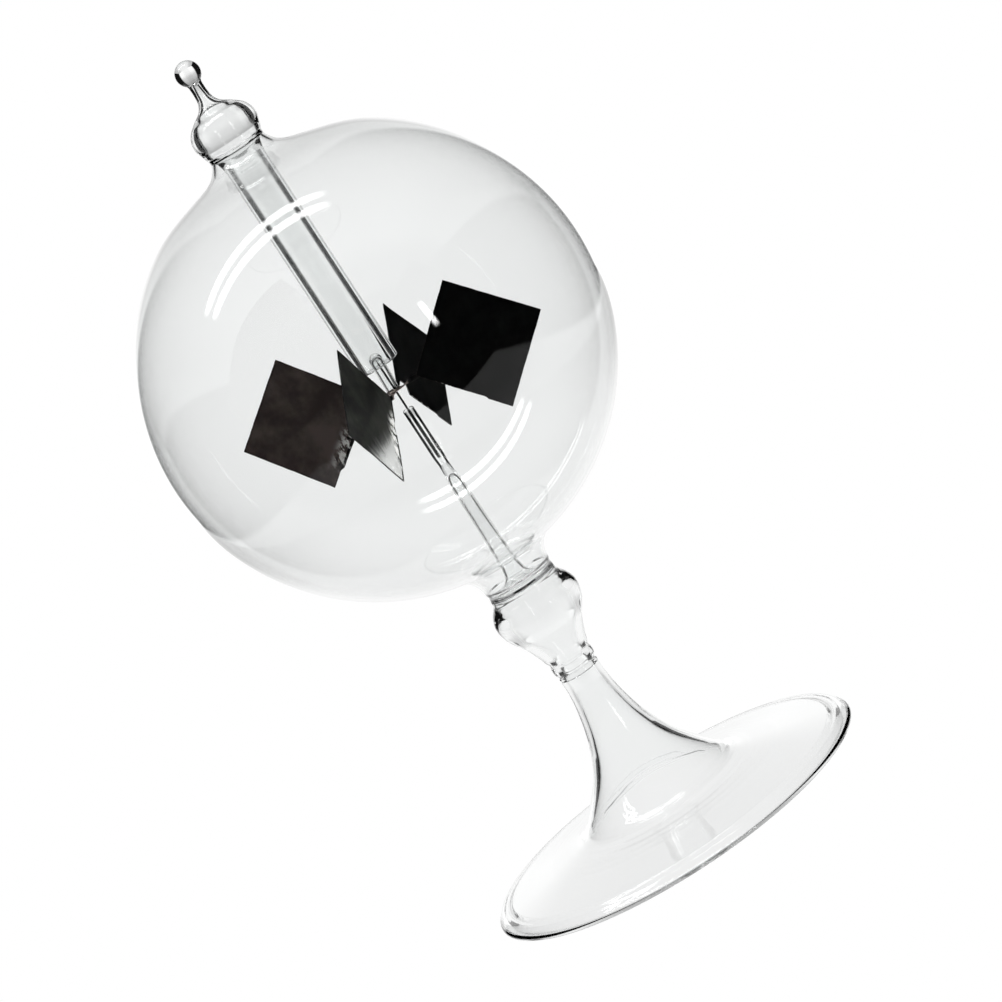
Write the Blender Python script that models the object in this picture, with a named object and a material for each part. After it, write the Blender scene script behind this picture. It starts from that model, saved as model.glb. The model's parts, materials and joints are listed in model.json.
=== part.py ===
"""Radiometer (Crookes light mill) on a blown glass foot.

Metres, +Z up. The origin is the bottom centre of the foot, and the glass axis is Z. The rotor hangs
on the point of a needle that stands on that axis.
"""

import math

import bmesh
import bpy
from mathutils import Matrix, Vector

MM = 0.001  # every dimension below is in millimetres

# Gaps and facets
FUSE_GAP = 0.3  # between glass pieces that are fused on the real object
SIDES_LARGE = 40
SIDES_MEDIUM = 24
SIDES_SMALL = 12
CURVE_STEPS = 2

# Globe
GLOBE_RADIUS = 50.0
GLOBE_CENTRE_Z = 116.6
GLOBE_WALL = 0.9
GLOBE_ARC_STEPS = 15  # 10 degrees each, so that one ring lies on the equator
GLOBE_TOP_ANGLE = 70.0  # latitude where the sphere meets its upper neck
GLOBE_LOW_ANGLE = -80.0  # and its lower neck
GLOBE_MOUTH_RADIUS = 6.7
GLOBE_MOUTH_Z = 168.5
GLOBE_NECK_RADIUS = 7.8
GLOBE_NECK_Z = 61.6

# Crown: seal, bubble, exhaust neck, bead
SEAL_THICKNESS = 0.8
CROWN_SEAL_RADIUS = 6.35
CROWN_BORE_RADIUS = 3.5
BUBBLE_RADIUS = 7.45
BUBBLE_CENTRE_Z = 172.8
BUBBLE_WALL = 1.7
BUBBLE_TOP_Z = 179.6
NECK_RADIUS = 1.6
NECK_BORE_RADIUS = 0.55
NECK_TOP_Z = 184.1
BEAD_RADIUS = 2.75
BEAD_CENTRE_Z = 186.8

# Guard tube over the bearing cup
TUBE_RADIUS = 4.6
TUBE_BORE_RADIUS = 3.2
TUBE_TOP_Z = 167.4
TUBE_END_Z = 115.2

# Needle and the capillary that holds it
NEEDLE_RADIUS = 0.2
NEEDLE_TIP_Z = 117.0
NEEDLE_END_Z = 92.4
NEEDLE_POINT_LENGTH = 2.2
HOLDER_RADIUS = 1.25
HOLDER_BORE_RADIUS = 0.3
HOLDER_TOP_Z = 104.7
HOLDER_END_Z = 88.6

# Stem inside the globe's lower neck
STEM_RADIUS = 1.5
STEM_WALL = 0.5
STEM_TOP_Z = 88.2
STEM_FLARE_RADIUS = 3.5
STEM_FLARE_Z = 61.6

# Seal under the globe, baluster, seal above the foot
GLOBE_SEAL_RADIUS = 7.9
GLOBE_SEAL_Z = 60.5
BALUSTER_RADIUS = 9.95
BALUSTER_TOP_Z = 59.8
BALUSTER_WIDEST_Z = 55.2
BALUSTER_END_Z = 42.3
FOOT_SEAL_RADIUS = 4.8
FOOT_SEAL_BORE_RADIUS = 3.2
FOOT_SEAL_Z = 39.6
FOOT_SEAL_HEIGHT = 2.4  # it is a short collar

# Foot
FOOT_TOP_Z = 39.3
FOOT_TOP_RADIUS = 4.6
FOOT_WALL = 1.4
FOOT_RADIUS = 43.7
FOOT_LIP_RADIUS = 0.6  # of the rounded outer edge
FOOT_DISC_RADIUS = 40.2  # where the disc turns down into its lip
FOOT_REST_WIDTH = 1.3  # width of the flat ring that it stands on

# Rotor, in its own frame with the needle's point as the origin
CUP_RADIUS = 1.4
CUP_BORE_RADIUS = 1.12
CUP_LENGTH = 8.6
CUP_LEAN_DEG = 2.5  # the mill hangs out of true on its point
SPIDER_LEAN_DEG = 3.0  # and its metal star was bent a little more on the cup
SPIDER_DROP = 7.9
SPIDER_RADIUS = 2.35
SPIDER_THICKNESS = 0.3
SPIDER_CLEARANCE = 0.2
TAB_THICKNESS = 0.25
TAB_HEIGHT = 1.0
TAB_RISE = 0.2
TAB_GAP = 0.1  # between a tab and its vane
TAB_GRIP = 0.7  # how far a tab reaches past its vane's inner corner
VANE_SIDE = 21.3
VANE_THICKNESS = 0.2
VANE_RISE_DEG = 2.0  # each arm lifts its vane's outer corner
VANE_DROP = 7.0
BLACKING_THICKNESS = 0.08
BLACKING_GAP = 0.05
BLACKING_MARGIN = 0.15  # bare edge left round the coat
# The arms were bent by hand, so each vane has its own azimuth in degrees, distance of its centre from
# the axis, height above the mean and lean in degrees.
VANE_PLACES = (
    (-12.0, 20.2, 0.4, 2.0),
    (65.3, 17.4, -0.2, 1.0),
    (164.0, 20.1, 0.9, -1.5),
    (248.1, 18.4, -0.9, 0.0),
)


def clear_scene():
    for existing in list(bpy.data.objects):
        bpy.data.objects.remove(existing)


def material(name, colour, roughness, metallic=0.0, transmission=0.0):
    made = bpy.data.materials.new(name)
    made.use_nodes = True
    shader = made.node_tree.nodes["Principled BSDF"]
    shader.inputs["Base Color"].default_value = (*colour, 1.0)
    shader.inputs["Roughness"].default_value = roughness
    shader.inputs["Metallic"].default_value = metallic
    shader.inputs["Transmission Weight"].default_value = transmission
    return made


def glass_material(name):
    return material(name, (0.93, 0.95, 0.95), 0.02, transmission=1.0)


def object_from(name, mesh_builder, look, sharp_deg=35.0):
    mesh = bpy.data.meshes.new(name)
    bmesh.ops.recalc_face_normals(mesh_builder, faces=mesh_builder.faces)
    mesh_builder.to_mesh(mesh)
    mesh_builder.free()
    mesh.shade_smooth()
    mesh.set_sharp_from_angle(angle=math.radians(sharp_deg))
    mesh.materials.append(look)
    made = bpy.data.objects.new(name, mesh)
    bpy.context.scene.collection.objects.link(made)
    return made


# --- outlines: lists of (radius, height) in millimetres ---


def arc(centre_r, centre_z, radius, start_deg, end_deg, steps):
    angles = [math.radians(start_deg + (end_deg - start_deg) * i / steps) for i in range(steps + 1)]
    return [(centre_r + radius * math.cos(a), centre_z + radius * math.sin(a)) for a in angles]


def curve_through(points, steps=CURVE_STEPS):
    """A Catmull-Rom curve through the points, with this many steps from each to the next."""
    knots = [Vector(p) for p in points]
    knots = [2 * knots[0] - knots[1], *knots, 2 * knots[-1] - knots[-2]]
    line = []
    for before, start, end, after in zip(knots, knots[1:], knots[2:], knots[3:]):
        for i in range(steps):
            t = i / steps
            point = 0.5 * (
                2 * start
                + (end - before) * t
                + (2 * before - 5 * start + 4 * end - after) * t**2
                + (3 * start - before - 3 * end + after) * t**3
            )
            line.append((point.x, point.y))
    line.append(tuple(knots[-2]))
    return line


def inset(line, wall):
    """The line moved towards the axis side by the wall, for an outline that runs down its outside."""
    moved = []
    for i, (r, z) in enumerate(line):
        before = Vector(line[max(i - 1, 0)])
        after = Vector(line[min(i + 1, len(line) - 1)])
        along = (after - before).normalized()
        moved.append((r + along.y * wall, z - along.x * wall))
    return moved


def turned(name, outline, sides, look, sharp_deg=35.0):
    """A closed outline turned round Z. A point on the axis becomes one vertex."""
    builder = bmesh.new()
    rings = []
    for r, z in outline:
        if r < 1e-6:
            rings.append([builder.verts.new((0, 0, z * MM))] * sides)
            continue
        angles = [2 * math.pi * i / sides for i in range(sides)]
        rings.append([builder.verts.new((r * math.cos(a) * MM, r * math.sin(a) * MM, z * MM)) for a in angles])
    for upper, lower in zip(rings, rings[1:] + rings[:1]):
        for i in range(sides):
            corners = [upper[i], upper[i - 1], lower[i - 1], lower[i]]
            corners = list(dict.fromkeys(corners))
            if len(corners) > 2:
                builder.faces.new(corners)
    return object_from(name, builder, look, sharp_deg)


# --- glass envelope and stand ---


def make_bead(look):
    outline = arc(0, BEAD_CENTRE_Z, BEAD_RADIUS, 90, -55, 8)
    outline += [(NECK_RADIUS, NECK_TOP_Z + FUSE_GAP), (0, NECK_TOP_Z + FUSE_GAP)]
    outline[0] = (0, BEAD_CENTRE_Z + BEAD_RADIUS)
    return turned("finial_ball", outline, SIDES_MEDIUM, look)


def make_exhaust_neck(look):
    outside = curve_through([(NECK_RADIUS, NECK_TOP_Z), (1.5, 182.0), (2.1, BUBBLE_TOP_Z + FUSE_GAP)])
    bore = curve_through([(1.15, BUBBLE_TOP_Z + FUSE_GAP), (0.7, 182.0), (NECK_BORE_RADIUS, NECK_TOP_Z)])
    return turned("exhaust_neck", outside + bore, SIDES_SMALL, look)


def make_bubble(look):
    foot_z = GLOBE_MOUTH_Z + SEAL_THICKNESS + 2 * FUSE_GAP
    outside = curve_through(
        [
            (2.15, BUBBLE_TOP_Z),
            (4.6, 177.6),
            (6.4, 176.1),
            (BUBBLE_RADIUS - 0.15, 174.4),
            (BUBBLE_RADIUS, BUBBLE_CENTRE_Z),
            (BUBBLE_RADIUS - 0.5, 171.1),
            (CROWN_SEAL_RADIUS, foot_z),
        ]
    )
    inside = curve_through(
        [
            (CROWN_SEAL_RADIUS - BUBBLE_WALL + 0.4, foot_z),
            (5.5, 171.0),
            (BUBBLE_RADIUS - BUBBLE_WALL, BUBBLE_CENTRE_Z),
            (5.6, 174.4),
            (4.7, 175.9),
            (3.2, 177.1),
            (1.2, BUBBLE_TOP_Z),
        ]
    )
    return turned("crown_bubble", outside + inside, SIDES_MEDIUM, look)


def make_ring(name, outer, inner, low_z, height, look):
    """A fused ring: a short tube with a bulging outside."""
    bulge = 0.25
    outside = arc(outer - bulge, low_z + height / 2, bulge, 90, -90, 4)
    outside = [(r, low_z + height / 2 + (z - low_z - height / 2) * height / (2 * bulge)) for r, z in outside]
    return turned(name, [*outside, (inner, low_z), (inner, low_z + height)], SIDES_MEDIUM, look)


def globe_outside():
    """The globe's outer line, from the upper mouth down to the lower neck."""
    top = math.radians(GLOBE_TOP_ANGLE)
    low = math.radians(GLOBE_LOW_ANGLE)
    sphere_top = (GLOBE_RADIUS * math.cos(top), GLOBE_CENTRE_Z + GLOBE_RADIUS * math.sin(top))
    sphere_low = (GLOBE_RADIUS * math.cos(low), GLOBE_CENTRE_Z + GLOBE_RADIUS * math.sin(low))
    flare = curve_through([(GLOBE_MOUTH_RADIUS, GLOBE_MOUTH_Z), (8.4, 166.6), (11.2, 164.9), sphere_top])
    sphere = arc(0, GLOBE_CENTRE_Z, GLOBE_RADIUS, GLOBE_TOP_ANGLE, GLOBE_LOW_ANGLE, GLOBE_ARC_STEPS)
    neck = curve_through([sphere_low, (8.0, 66.0), (GLOBE_NECK_RADIUS, 64.6), (GLOBE_NECK_RADIUS, GLOBE_NECK_Z)])
    return flare[:-1] + sphere + neck[1:]


def make_globe(look):
    outside = globe_outside()
    inside = inset(outside, GLOBE_WALL)
    return turned("globe", outside + inside[::-1], SIDES_LARGE, look)


def make_guard_tube(look):
    """A tube with a flared, rounded top that is fused under the crown seal and a fire-polished end."""
    wall = TUBE_RADIUS - TUBE_BORE_RADIUS
    outside = curve_through([(5.5, TUBE_TOP_Z + 0.8), (4.75, TUBE_TOP_Z - 0.6), (TUBE_RADIUS, 164.0)])
    end = arc(TUBE_RADIUS - wall / 2, TUBE_END_Z + wall / 2, wall / 2, 0, -180, 6)
    outline = [*outside, *end, (TUBE_BORE_RADIUS, TUBE_TOP_Z + 0.8)]
    return turned("guard_tube", outline, SIDES_MEDIUM, look)


def make_needle(steel):
    shank_top = NEEDLE_TIP_Z - NEEDLE_POINT_LENGTH
    outline = [
        (0, NEEDLE_TIP_Z),
        (0.05, NEEDLE_TIP_Z - 0.12),
        (NEEDLE_RADIUS * 0.72, shank_top + 0.9),
        (NEEDLE_RADIUS, shank_top),
        (NEEDLE_RADIUS, NEEDLE_END_Z + 0.1),
        (NEEDLE_RADIUS - 0.1, NEEDLE_END_Z),
        (0, NEEDLE_END_Z),
    ]
    return turned("needle", outline, SIDES_SMALL, steel)


def make_needle_holder(look):
    """A capillary with a rounded mouth, closed below the needle and drawn out to the stem's width."""
    wall = HOLDER_RADIUS - HOLDER_BORE_RADIUS
    mouth = arc(HOLDER_RADIUS - wall / 2, HOLDER_TOP_Z - wall / 2, wall / 2, 180, 0, 6)
    neck = curve_through([(HOLDER_RADIUS, 93.0), (1.12, 90.8), (HOLDER_RADIUS, HOLDER_END_Z)])
    bore_end = NEEDLE_END_Z - 0.3
    outline = [*mouth, *neck, (0, HOLDER_END_Z), (0, bore_end), (HOLDER_BORE_RADIUS, bore_end)]
    return turned("needle_holder", outline, SIDES_SMALL, look)


def make_stem(look):
    """The hollow stem, closed by a dome at the top and flared below to meet the globe's neck."""
    outside = curve_through(
        [
            (STEM_RADIUS, 85.0),
            (STEM_RADIUS + 0.15, 76.0),
            (STEM_RADIUS + 0.45, 67.6),
            (2.3, 64.0),
            (STEM_FLARE_RADIUS, STEM_FLARE_Z),
        ]
    )
    inside = inset(outside, STEM_WALL)
    # The wall is measured square to the line, so the inner line is cut level with the flare's foot.
    inside[-1] = (STEM_FLARE_RADIUS - 0.75, STEM_FLARE_Z)
    dome = [(0, STEM_TOP_Z), (STEM_RADIUS * 0.7, STEM_TOP_Z - 0.15), (STEM_RADIUS * 0.95, STEM_TOP_Z - 0.8)]
    under = [(STEM_RADIUS * 0.42, STEM_TOP_Z - 1.5), (0, STEM_TOP_Z - 1.0)]
    return turned("support_stem", dome + outside + inside[::-1] + under, SIDES_MEDIUM, look)


def make_globe_seal(look):
    """The fused ring under the globe, with the web that joins the stem's flare to it."""
    low = GLOBE_SEAL_Z - 0.4
    high = STEM_FLARE_Z - FUSE_GAP
    outside = [(GLOBE_SEAL_RADIUS - 0.3, high), (GLOBE_SEAL_RADIUS, (low + high) / 2), (GLOBE_SEAL_RADIUS - 0.2, low)]
    bore = [(STEM_FLARE_RADIUS - 0.7, low), (STEM_FLARE_RADIUS - 0.7, high)]
    return turned("globe_seal", outside + bore, SIDES_MEDIUM, look)


def make_baluster(look):
    outside = curve_through(
        [
            (GLOBE_SEAL_RADIUS + 0.2, BALUSTER_TOP_Z),
            (9.2, 58.2),
            (BALUSTER_RADIUS, BALUSTER_WIDEST_Z),
            (9.3, 51.9),
            (7.1, 48.3),
            (5.7, 44.8),
            (4.95, BALUSTER_END_Z),
        ]
    )
    inside = curve_through(
        [
            (3.3, BALUSTER_END_Z),
            (3.7, 44.2),
            (5.2, 48.0),
            (6.8, 51.0),
            (7.5, 53.6),
            (7.5, 56.3),
            (7.1, 58.6),
            (6.3, BALUSTER_TOP_Z),
        ]
    )
    return turned("baluster", outside + inside, SIDES_MEDIUM, look)


def make_foot(look):
    """The trumpet foot: its outer line runs down the horn and out along the disc to a rolled lip."""
    horn = curve_through(
        [
            (FOOT_TOP_RADIUS, FOOT_TOP_Z),
            (FOOT_TOP_RADIUS, 35.0),
            (5.3, 30.0),
            (7.0, 23.5),
            (10.2, 16.8),
            (15.6, 10.2),
            (19.5, 7.2),
            (26.0, 5.5),
            (33.0, 4.1),
            (FOOT_DISC_RADIUS, 3.0),
        ]
    )
    shoulder = (FOOT_RADIUS - 1.2, 2.1)
    lip_r = FOOT_RADIUS - FOOT_LIP_RADIUS
    lip = arc(lip_r, FOOT_LIP_RADIUS, FOOT_LIP_RADIUS, 40, -90, 4)
    rest_r = lip_r - FOOT_REST_WIDTH
    rest = [(rest_r, 0.0), (rest_r - 0.7, 0.5)]
    under = inset(horn, FOOT_WALL)
    return turned("foot", [*horn, shoulder, *lip, *rest, *under[::-1]], SIDES_LARGE, look)


# --- rotor ---


def empty(name, place, parent=None, lean_deg=0.0):
    made = bpy.data.objects.new(name, None)
    made.location = [value * MM for value in place]
    made.rotation_euler = (0, math.radians(lean_deg), 0)
    made.parent = parent
    bpy.context.scene.collection.objects.link(made)
    return made


def make_cup(look, pivot):
    """A glass cap, closed at the top, drawn in the rotor's frame."""
    low = 1.2 - CUP_LENGTH - 0.5
    outside = [(0, 1.2), *arc(0, 1.2 - CUP_RADIUS, CUP_RADIUS, 75, 0, 5), (CUP_RADIUS, low)]
    bore_top = 0.3
    dome = arc(0, bore_top - CUP_BORE_RADIUS, CUP_BORE_RADIUS, 0, 75, 5)
    outline = [*outside, (CUP_BORE_RADIUS, low), *dome, (0, bore_top)]
    made = turned("bearing_cup", outline, SIDES_SMALL, look)
    made.parent = pivot
    return made


def radial(azimuth_deg, distance, z=0.0):
    a = math.radians(azimuth_deg)
    return Vector((distance * math.cos(a), distance * math.sin(a), z))


def unite(made, name, size, centre, azimuth):
    """Joins a box, turned to this azimuth, to an object with a Boolean."""
    builder = bmesh.new()
    bmesh.ops.create_cube(builder, size=1.0)
    bmesh.ops.scale(builder, vec=[value * MM for value in size], verts=builder.verts)
    bmesh.ops.translate(builder, vec=[value * MM for value in centre], verts=builder.verts)
    turn = Matrix.Rotation(math.radians(azimuth), 3, "Z")
    bmesh.ops.rotate(builder, cent=(0, 0, 0), matrix=turn, verts=builder.verts)
    box = object_from(name, builder, made.data.materials[0])
    box.parent = made
    box.hide_render = True
    box.display_type = "WIRE"
    union = made.modifiers.new(name, "BOOLEAN")
    union.operation = "UNION"
    union.object = box


def make_spider(look, cross):
    """A sheet-metal disc crimped round the cup, with a tab on edge beside each vane's inner corner."""
    hole = CUP_RADIUS + SPIDER_CLEARANCE
    sheet = [(SPIDER_RADIUS, SPIDER_THICKNESS), (SPIDER_RADIUS, 0), (hole, 0), (hole, SPIDER_THICKNESS)]
    spider = turned("spider", sheet, SIDES_MEDIUM, look)
    spider.parent = cross
    for number, (azimuth, distance, _, _) in enumerate(VANE_PLACES, start=1):
        start = hole + 0.2
        end = distance - VANE_SIDE / math.sqrt(2) + TAB_GRIP
        across = VANE_THICKNESS + TAB_GAP + TAB_THICKNESS / 2
        size = (end - start, TAB_THICKNESS, TAB_HEIGHT)
        centre = ((start + end) / 2, across, SPIDER_THICKNESS / 2 + TAB_RISE)
        unite(spider, f"tab_{number}", size, centre, azimuth)


def make_plate(name, side, thickness, look, sharp_deg=35.0):
    """A square plate in the XZ plane, standing on one corner, with its thickness along Y from 0."""
    builder = bmesh.new()
    reach = side / math.sqrt(2) * MM
    corners = [(reach, 0), (0, reach), (-reach, 0), (0, -reach)]
    front = builder.faces.new([builder.verts.new((x, 0, z)) for x, z in corners])
    raised = bmesh.ops.extrude_face_region(builder, geom=[front])
    back = [v for v in raised["geom"] if isinstance(v, bmesh.types.BMVert)]
    bmesh.ops.translate(builder, verts=back, vec=(0, thickness * MM, 0))
    return object_from(name, builder, look, sharp_deg)


def place_vane(made, place, offset, cross):
    """Stands a plate on its corner at a place of VANE_PLACES. The offset is along the vane's normal."""
    azimuth, distance, height, lean = place
    spot = radial(azimuth, distance, SPIDER_DROP - VANE_DROP + height)
    turn = Matrix.Rotation(math.radians(azimuth), 4, "Z")
    turn @= Matrix.Rotation(math.radians(-lean), 4, "X")
    turn @= Matrix.Rotation(math.radians(-VANE_RISE_DEG), 4, "Y")
    made.matrix_local = Matrix.Translation(spot * MM) @ turn @ Matrix.Translation((0, offset * MM, 0))
    made.parent = cross


def make_vanes(mica, lamp_black, cross):
    for number, place in enumerate(VANE_PLACES, start=1):
        plate = make_plate(f"vane_{number}", VANE_SIDE, VANE_THICKNESS, mica)
        place_vane(plate, place, 0.0, cross)
        coat = make_plate(f"blacking_{number}", VANE_SIDE - 2 * BLACKING_MARGIN, BLACKING_THICKNESS, lamp_black)
        place_vane(coat, place, -BLACKING_GAP - BLACKING_THICKNESS, cross)


def build():
    clear_scene()
    envelope = glass_material("envelope_glass")
    make_bead(envelope)
    make_exhaust_neck(envelope)
    make_bubble(envelope)
    make_ring(
        "crown_seal",
        CROWN_SEAL_RADIUS,
        CROWN_BORE_RADIUS,
        GLOBE_MOUTH_Z + FUSE_GAP,
        SEAL_THICKNESS,
        envelope,
    )
    make_globe(envelope)
    make_guard_tube(glass_material("tube_glass"))
    stand_glass = glass_material("stand_glass")
    make_globe_seal(stand_glass)
    make_baluster(stand_glass)
    make_ring(
        "foot_seal", FOOT_SEAL_RADIUS, FOOT_SEAL_BORE_RADIUS, FOOT_SEAL_Z, FOOT_SEAL_HEIGHT, stand_glass
    )
    make_foot(stand_glass)
    stem_glass = glass_material("stem_glass")
    make_stem(stem_glass)
    make_needle_holder(stem_glass)
    make_needle(material("needle_steel", (0.45, 0.44, 0.43), 0.3, metallic=1.0))

    pivot = empty("rotor_pivot", (0, 0, NEEDLE_TIP_Z), lean_deg=CUP_LEAN_DEG)
    cross = empty("vane_cross", (0, 0, -SPIDER_DROP), parent=pivot, lean_deg=SPIDER_LEAN_DEG)
    make_cup(glass_material("cup_glass"), pivot)
    make_spider(material("spider_metal", (0.62, 0.52, 0.46), 0.35, metallic=1.0), cross)
    mica = material("vane_mica", (0.42, 0.4, 0.36), 0.3, metallic=0.6)
    lamp_black = material("lamp_black", (0.012, 0.012, 0.013), 0.9)
    make_vanes(mica, lamp_black, cross)


build()
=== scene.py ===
"""Light mill on its blown glass foot: the visual model, its studio and its camera."""

import json
import math

import bmesh
import bpy
from mathutils import Matrix, Vector, noise


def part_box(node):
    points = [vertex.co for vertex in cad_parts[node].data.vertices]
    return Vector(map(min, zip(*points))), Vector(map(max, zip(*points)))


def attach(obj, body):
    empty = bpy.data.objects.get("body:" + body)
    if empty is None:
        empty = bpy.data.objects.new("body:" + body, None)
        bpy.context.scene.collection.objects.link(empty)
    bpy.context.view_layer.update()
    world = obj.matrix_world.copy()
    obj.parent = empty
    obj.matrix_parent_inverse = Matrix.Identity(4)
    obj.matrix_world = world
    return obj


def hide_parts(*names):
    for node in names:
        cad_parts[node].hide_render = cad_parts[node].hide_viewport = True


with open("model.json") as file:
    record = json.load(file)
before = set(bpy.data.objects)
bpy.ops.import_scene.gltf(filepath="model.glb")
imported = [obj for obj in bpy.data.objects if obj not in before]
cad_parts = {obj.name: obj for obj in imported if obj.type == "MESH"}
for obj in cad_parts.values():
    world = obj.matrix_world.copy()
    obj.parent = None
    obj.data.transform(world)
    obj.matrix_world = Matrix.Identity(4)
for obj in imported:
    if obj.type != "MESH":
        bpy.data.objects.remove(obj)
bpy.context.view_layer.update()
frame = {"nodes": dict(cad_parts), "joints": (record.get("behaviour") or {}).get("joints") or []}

MM = 0.001  # lengths below are in millimetres

# Mesh fineness
SIDES_GLOBE = 192
SIDES_SMALL = 64
SIDES_NEEDLE = 32
CURVE_STEPS = 8
PLATE_STEPS = 48
PLATE_CREASE_DEG = 40
STAR_CREASE_DEG = 50

# Glass walls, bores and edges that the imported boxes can't give
GLOBE_WALL = 0.75
THROAT_WALL = 1.2
HORN_WALL = 1.5
DISC_WALL = 1.1
STEM_WALL = 0.5
TUBE_BORE = 3.3
TUBE_STRAIGHT_TOP = 160.0  # the guard tube widens only above this height
SOCKET_RADIUS = 0.24  # of the bore that grips the needle
LIP_RADIUS = 0.6  # of the foot's rolled edge

# The globe's flare under its crown and the fillet into its lower neck
WAIST_RADIUS = 6.3
FLARE_END = 26.0  # radius at which the crown's flare has run out into the sphere
FLARE_DIP = 0.75  # how far the globe's top is sunk under that flare
FLARE_FALL = 1.4  # the flare's steepness: the radius over which it falls by a factor e
FLARE_STEPS = 64
NECK_RADIUS = 7.75
NECK_FILLET = 6.0

# The horn, and the fine rings that its shaping left where it opens out into the foot
HORN_STEPS = 20
FOOT_MARKS_TOP = 14.0  # there are no rings above this height
TURN_MARKS = (2.3, 0.06, 20.0, 6.5)  # their spacing, depth, middle radius and half width

# Fused seams and worked places that stayed uneven: height, depth and how far they reach up and down
SEAMS = (
    (169.2, 0.14, 0.7),
    (60.2, 0.08, 0.8),
    (41.9, 0.08, 0.8),
    (39.4, 0.08, 0.6),
)

# The stand's glass nodes, which one blown shape stands for
STAND_GLASS = (
    "finial_ball",
    "exhaust_neck",
    "crown_bubble",
    "crown_seal",
    "globe",
    "guard_tube",
    "support_stem",
    "needle_holder",
    "globe_seal",
    "baluster",
    "foot_seal",
    "foot",
)

# Needle and bearing cup. Heights in the cup are from the needle's point.
NEEDLE_RADIUS = 0.22
CUP_RADIUS = 1.4
CUP_BORE = 0.95
CUP_DOME = -0.2  # where the outer wall turns into the dome
CUP_CEILING = -0.65  # and the bore's wall into its ceiling
CUP_WALL_HEIGHTS = (-2, -4, -6, -7.3)
CUP_LIP = -7.7

# The rotor hangs out of true by these angles about Y, first the cup and then the star on it
CUP_LEAN_DEG = 2.5
STAR_LEAN_DEG = 3.0
STAR_DROP = 7.9  # below the needle's point
TAB_DROOP = {3: 0.9, 1: -0.1}  # how far a tab was bent down between the collar and its vane
TAB_ROOT = (2.0, 0.15)  # the radius and height in the star where a tab starts
TAB_WIDTH = 1.5
TAB_NARROWING = 0.5  # how much narrower it is once it has twisted on edge
TAB_THICKNESS = 0.2
TAB_REACHES = (-0.5, 0.3, 0.9)  # from the vane's inner corner, where the tab passes on its way

# The vanes, and their depths from the middle of the mica: the coat lies just off its -Y face
VANES = (1, 2, 3, 4)
MICA_DEPTHS = (-0.1, 0.1)
COAT_DEPTHS = (-0.21, -0.12)
COAT_MARGIN = 0.012  # how far it stops short of the edges, as a share of the half side
VANE_WARP = 0.16

# Where a vane's edge was cut back: (vane, edge) to start, end and depth, as shares of the half side
CUTS = {
    (1, 1): ((-0.5, 2.0, 0.035),),
    (2, 1): ((-0.5, 2.0, 0.035), (0.56, 0.93, 0.24)),
    (3, 1): ((-2.0, -0.55, 0.05), (0.1, 0.3, 0.03)),
    (4, 1): ((0.1, 0.45, 0.04),),
}
CUT_SLOPE = 0.06
VANE_HALF = 0.01506  # half a vane's diagonal, in metres

# Colours and finishes
GLASS_TINT = (0.985, 0.992, 0.99)
NEEDLE_COLOUR = (0.09, 0.088, 0.085)
STAR_COLOURS = ((0.62, 0.5, 0.46), (0.86, 0.74, 0.69))
DULL_BLACK = (0.012, 0.011, 0.01)
FLAKE_WHITE = (0.9, 0.9, 0.87)
LINE_BLACK = (0.006, 0.005, 0.005)
RIM_BROWN = (0.035, 0.028, 0.026)
# Mica: its dark, middle and silvery colour, the height in metres below which it is silvery, how much of
# its edge is flaked, and how strong the painted glow is that stands for light from behind. The silvery
# colour is partly the mica's own lustre and partly painted light from behind
SMOKY_MICA = ((0.13, 0.095, 0.085), (0.27, 0.21, 0.19), (0.5, 0.43, 0.4), -0.018, 0.9, 0.12)
BACKLIT_SILVER_MICA = ((0.035, 0.037, 0.03), (0.16, 0.165, 0.14), (0.97, 0.98, 0.96), -0.0066, 1.0, 0.6)
TABS_BLACK_FROM = (0.0033, 0.0038)  # the radii in metres between which the star's tabs turn black

# Camera, and how often light may pass through glass or be mirrored
CAMERA_DISTANCE = 745.5
CAMERA_RISE = 86.8  # above the globe's centre
CAMERA_PITCH_DEG = 9.58
CAMERA_YAW_DEG = 0.44
CAMERA_ROLL_DEG = 33.2
CAMERA_LENS = 130.2
GLASS_BOUNCES = 40
GLOSS_BOUNCES = 16

# Studio, in metres
ROOM_RADIUS = 3.0
ROOM_LEVEL = 0.007
FLOOR_RADIUS = 2.6
FLOOR_DROP = 0.0004
TABLE_HALF = 0.28  # half the white table's width
BACK_HALF = 0.315  # and half the white sheet's behind it
TABLE_FRONT = -0.24
TABLE_BACK = 0.6
TABLE_SHADE = 0.62  # its level near its edges
TABLE_LEVEL = 0.95  # and behind the object
FRONT_LEVEL = 0.27  # and in front of it
BACK_HEIGHT = 1.1
BACK_LEVELS = [(0.0, 0.97), (0.03, 0.99), (0.08, 1.0), (0.17, 0.93), (0.27, 0.62), (0.5, 0.38), (1.0, 0.28)]
BACK_SIDES = 1.14  # how much brighter it is away from its middle
TUBE_LIGHTS = ((-0.045, 1.12), (0.085, 1.12))  # each one's distance behind the object and height
TUBE_SPAN = (-0.95, 0.33)
TUBE_WIDTH = 0.075
TUBE_LEVEL = 10.0
WINDOW_PLACE = (0.797, -1.24, 0.378)
WINDOW_HALF_WIDTH = 0.05
WINDOW_HALF_HEIGHT = 0.2
WINDOW_LEVEL = 16.0


# --- outlines: lists of (radius, height) in millimetres ---


def arc(centre_r, centre_z, radius, start_deg, end_deg, steps):
    angles = [math.radians(start_deg + (end_deg - start_deg) * i / steps) for i in range(steps + 1)]
    return [(centre_r + radius * math.cos(a), centre_z + radius * math.sin(a)) for a in angles]


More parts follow.
